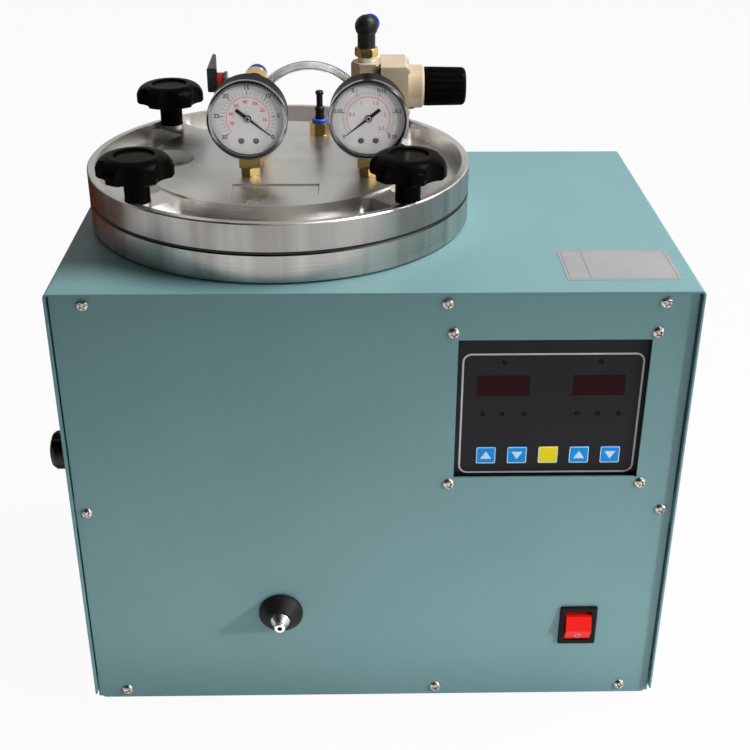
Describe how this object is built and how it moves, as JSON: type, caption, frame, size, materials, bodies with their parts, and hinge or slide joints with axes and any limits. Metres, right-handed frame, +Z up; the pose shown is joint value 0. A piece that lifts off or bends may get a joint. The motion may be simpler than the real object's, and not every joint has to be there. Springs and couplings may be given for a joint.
{
  "type": "jewelry wax injector",
  "caption": "Bench wax injector: sheet-metal cabinet, heated wax pot with a clamped lid, gauges, regulator, temperature controller, power rocker and spring-loaded nozzle.",
  "frame": {"origin": "centre of the machine's footprint on the bench", "axes": "+X to the operator's right, +Y to the back, +Z up"},
  "size_m": [0.419, 0.2899, 0.4571],
  "materials": {
    "cabinet_paint": "semi-gloss powder coat",
    "tray_steel": "zinc plated",
    "black_rubber": "matt",
    "screw_steel": "bright plated",
    "label_film": "satin film",
    "black_plastic": "fine grain",
    "board": "resin board",
    "display_window": "dark red lens",
    "led_lens": "clear moulding",
    "key_blue": "film",
    "key_yellow": "film",
    "rocker_red": "gloss",
    "core_steel": "varnished laminations",
    "pot_aluminium": "fine turned",
    "lid_aluminium": "cast and turned",
    "stud_steel": "threaded rod",
    "heater_band": "mica band in a steel sheath",
    "brass": "machined",
    "tip_chrome": "bright plated",
    "spring_steel": "drawn wire",
    "knob_black": "satin phenolic",
    "gauge_black": "gloss enamel",
    "bezel_chrome": "polished",
    "lens_clear": "clear",
    "dial_white": "matt white",
    "pointer_black": "matt black",
    "fitting_black": "moulded",
    "collar_blue": "moulded",
    "hose_clear": "clear tube",
    "valve_nickel": "nickel plated",
    "lever_sleeve": "plastic sleeve on a steel lever",
    "regulator_cast": "champagne paint on die-cast metal"
  },
  "bodies": {
    "cabinet": {"outer_cover": "cabinet_paint", "front_panel": "cabinet_paint", "back_panel": "cabinet_paint", "base_tray": "tray_steel", "rubber_feet": "black_rubber", "panel_screws": "screw_steel", "top_label": "label_film", "controller_plate": "black_plastic", "controller_screws": "screw_steel", "control_board": "board", "display_windows": "display_window", "indicator_leds": "led_lens", "switch_bezel": "black_plastic", "mains_inlet": "black_plastic", "transformer": "core_steel", "solenoid_valves": "core_steel", "wax_pot": "pot_aluminium", "pot_gasket": "black_rubber", "lid_seal": "black_rubber", "lid_studs": "stud_steel", "band_heater": "heater_band", "nozzle_body": "brass", "nozzle_cover": "black_plastic", "nozzle_spring": "spring_steel", "side_valve_body": "brass"},
    "lid": {"pot_lid": "lid_aluminium", "knob_washers": "stud_steel", "brass_fittings": "brass", "vacuum_tee": "brass", "elbow_bodies": "fitting_black", "release_collars": "collar_blue", "clear_hose": "hose_clear", "tube_plug": "fitting_black", "vacuum_valve": "valve_nickel", "regulator_body": "regulator_cast", "regulator_bonnet": "regulator_cast", "gauge_case_left": "gauge_black", "gauge_bezel_left": "bezel_chrome", "gauge_lens_left": "lens_clear", "gauge_dial_left": "dial_white", "gauge_case_right": "gauge_black", "gauge_bezel_right": "bezel_chrome", "gauge_lens_right": "lens_clear", "gauge_dial_right": "dial_white"},
    "rocker": {"rocker": "rocker_red"},
    "nozzle_tip": {"nozzle_tip": "tip_chrome"},
    "side_valve_knob": {"side_valve_knob": "knob_black"},
    "valve_lever": {"valve_lever": "lever_sleeve"},
    "regulator_knob": {"regulator_knob": "knob_black"},
    "key_1": {"key_1": "key_blue"},
    "key_2": {"key_2": "key_blue"},
    "key_3": {"key_3": "key_yellow"},
    "key_4": {"key_4": "key_blue"},
    "key_5": {"key_5": "key_blue"},
    "star_knob_back_right": {"star_knob_back_right": "knob_black"},
    "star_knob_back_left": {"star_knob_back_left": "knob_black"},
    "star_knob_front_left": {"star_knob_front_left": "knob_black"},
    "star_knob_front_right": {"star_knob_front_right": "knob_black"},
    "gauge_pointer_left": {"gauge_pointer_left": "pointer_black"},
    "gauge_pointer_right": {"gauge_pointer_right": "pointer_black"}
  },
  "joints": [
    {"name": "lid_lift", "type": "slide", "parent": "cabinet", "child": "lid", "axis": [0, 0, 1], "range_m": [0, 0.08]},
    {"name": "star_knob_back_right_turn", "type": "hinge", "parent": "lid", "child": "star_knob_back_right", "pos_m": [0.0305, 0.0968, 0.3663], "axis": [0, 0, 1], "continuous": true},
    {"name": "star_knob_back_left_turn", "type": "hinge", "parent": "lid", "child": "star_knob_back_left", "pos_m": [-0.1385, 0.0968, 0.3663], "axis": [0, 0, 1], "continuous": true},
    {"name": "star_knob_front_left_turn", "type": "hinge", "parent": "lid", "child": "star_knob_front_left", "pos_m": [-0.1385, -0.0722, 0.3663], "axis": [0, 0, 1], "continuous": true},
    {"name": "star_knob_front_right_turn", "type": "hinge", "parent": "lid", "child": "star_knob_front_right", "pos_m": [0.0305, -0.0722, 0.3663], "axis": [0, 0, 1], "continuous": true},
    {"name": "gauge_pointer_left_turn", "type": "hinge", "parent": "lid", "child": "gauge_pointer_left", "pos_m": [-0.0717, -0.0177, 0.4047], "axis": [0, -1, 0], "range_deg": [0, 256], "stiffness_Nm_per_rad": 0.0001},
    {"name": "gauge_pointer_right_turn", "type": "hinge", "parent": "lid", "child": "gauge_pointer_right", "pos_m": [0.0064, -0.0177, 0.4047], "axis": [0, 1, 0], "range_deg": [0, 256], "stiffness_Nm_per_rad": 0.0001},
    {"name": "regulator_knob_turn", "type": "hinge", "parent": "lid", "child": "regulator_knob", "pos_m": [0.0456, 0.0423, 0.4083], "axis": [1, 0, 0], "continuous": true},
    {"name": "valve_lever_turn", "type": "hinge", "parent": "lid", "child": "valve_lever", "pos_m": [-0.1, 0.0423, 0.4114], "axis": [1, 0, 0], "range_deg": [0, 90]},
    {"name": "rocker_tip", "type": "hinge", "parent": "cabinet", "child": "rocker", "pos_m": [0.1522, -0.1197, 0.0713], "axis": [1, 0, 0], "range_deg": [-12, 0]},
    {"name": "key_1_press", "type": "slide", "parent": "cabinet", "child": "key_1", "axis": [0, 1, 0], "range_m": [0, 0.0005], "stiffness_N_per_m": 1500, "springref_m": -0.0003},
    {"name": "key_2_press", "type": "slide", "parent": "cabinet", "child": "key_2", "axis": [0, 1, 0], "range_m": [0, 0.0005], "stiffness_N_per_m": 1500, "springref_m": -0.0003},
    {"name": "key_3_press", "type": "slide", "parent": "cabinet", "child": "key_3", "axis": [0, 1, 0], "range_m": [0, 0.0005], "stiffness_N_per_m": 1500, "springref_m": -0.0003},
    {"name": "key_4_press", "type": "slide", "parent": "cabinet", "child": "key_4", "axis": [0, 1, 0], "range_m": [0, 0.0005], "stiffness_N_per_m": 1500, "springref_m": -0.0003},
    {"name": "key_5_press", "type": "slide", "parent": "cabinet", "child": "key_5", "axis": [0, 1, 0], "range_m": [0, 0.0005], "stiffness_N_per_m": 1500, "springref_m": -0.0003},
    {"name": "nozzle_press", "type": "slide", "parent": "cabinet", "child": "nozzle_tip", "axis": [0, 1, 0], "range_m": [0, 0.003], "stiffness_N_per_m": 1500, "springref_m": -0.003, "deforming": ["nozzle_spring"]},
    {"name": "side_valve_turn", "type": "hinge", "parent": "cabinet", "child": "side_valve_knob", "pos_m": [-0.1955, -0.0852, 0.193], "axis": [1, 0, 0], "continuous": true}
  ]
}
